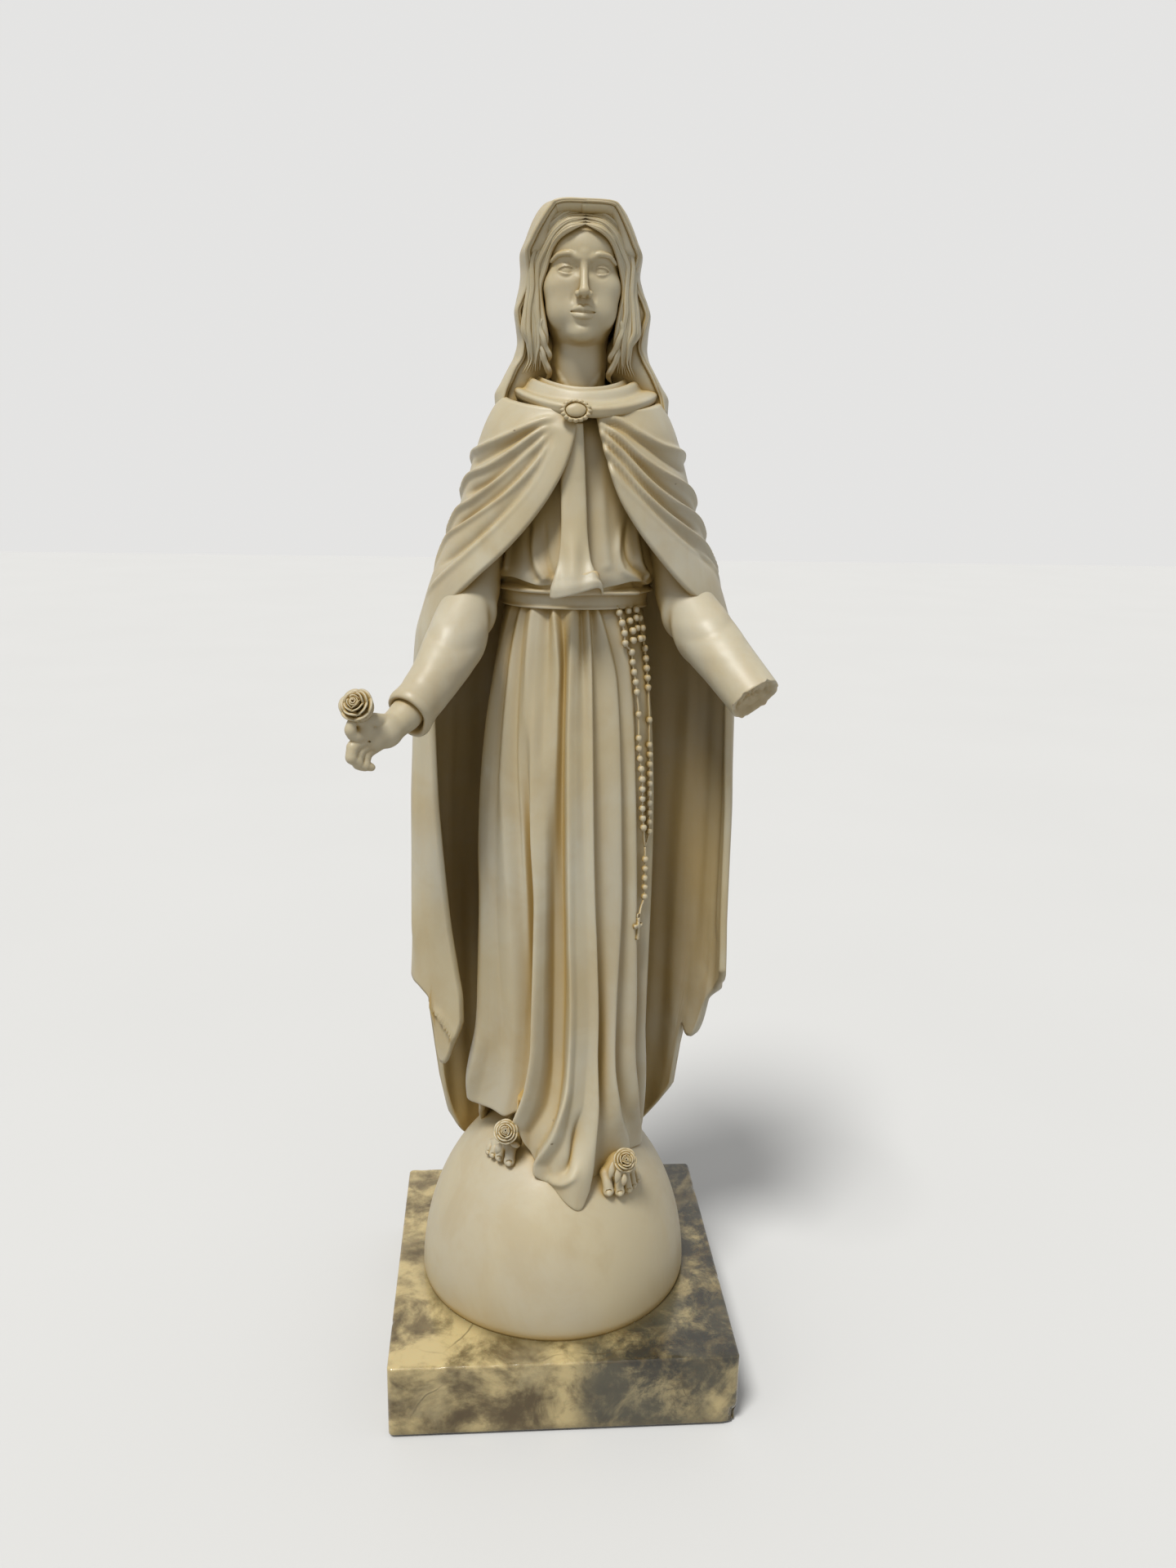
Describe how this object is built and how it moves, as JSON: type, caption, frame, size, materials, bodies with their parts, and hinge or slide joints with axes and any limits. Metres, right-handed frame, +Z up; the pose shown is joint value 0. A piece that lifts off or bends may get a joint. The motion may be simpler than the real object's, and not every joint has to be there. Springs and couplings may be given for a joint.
{
  "type": "madonna statue",
  "caption": "Standing robed figure on a globe and a square veined marble plinth, one hand holding a rose, the other arm broken off at the wrist.",
  "frame": {"origin": "middle of the felt face that the statue rests on, under the centre of the plinth", "axes": "+Z up; the figure faces -Y; its own left side is towards +X, so its open right hand is on -X"},
  "size_m": [0.2198, 0.2, 0.6677],
  "materials": {
    "cast_marble": "satin ivory cast marble, darker in the folds",
    "veined_marble": "polished, cream with brown and blue-grey veins",
    "felt": "pressed wool felt",
    "steel": "zinc-plated"
  },
  "bodies": {
    "root": {"felt_sheet": "felt", "plinth": "veined_marble", "tie_rod": "steel", "washer": "steel", "hex_nut": "steel", "globe": "cast_marble", "gown_skirt": "cast_marble", "gown_bodice": "cast_marble", "girdle": "cast_marble", "neckband": "cast_marble", "lappet": "cast_marble", "mantle": "cast_marble", "shawl_collar": "cast_marble", "right_sleeve": "cast_marble", "left_sleeve": "cast_marble", "right_hand": "cast_marble", "hand_rose": "cast_marble", "head": "cast_marble", "hair": "cast_marble", "veil": "cast_marble", "brooch_rim": "cast_marble", "brooch_stone": "cast_marble", "rosary_beads": "cast_marble", "rosary_cord": "cast_marble", "crucifix": "cast_marble", "right_foot": "cast_marble", "left_foot": "cast_marble", "right_foot_rose": "cast_marble", "left_foot_rose": "cast_marble"}
  },
  "joints": []
}
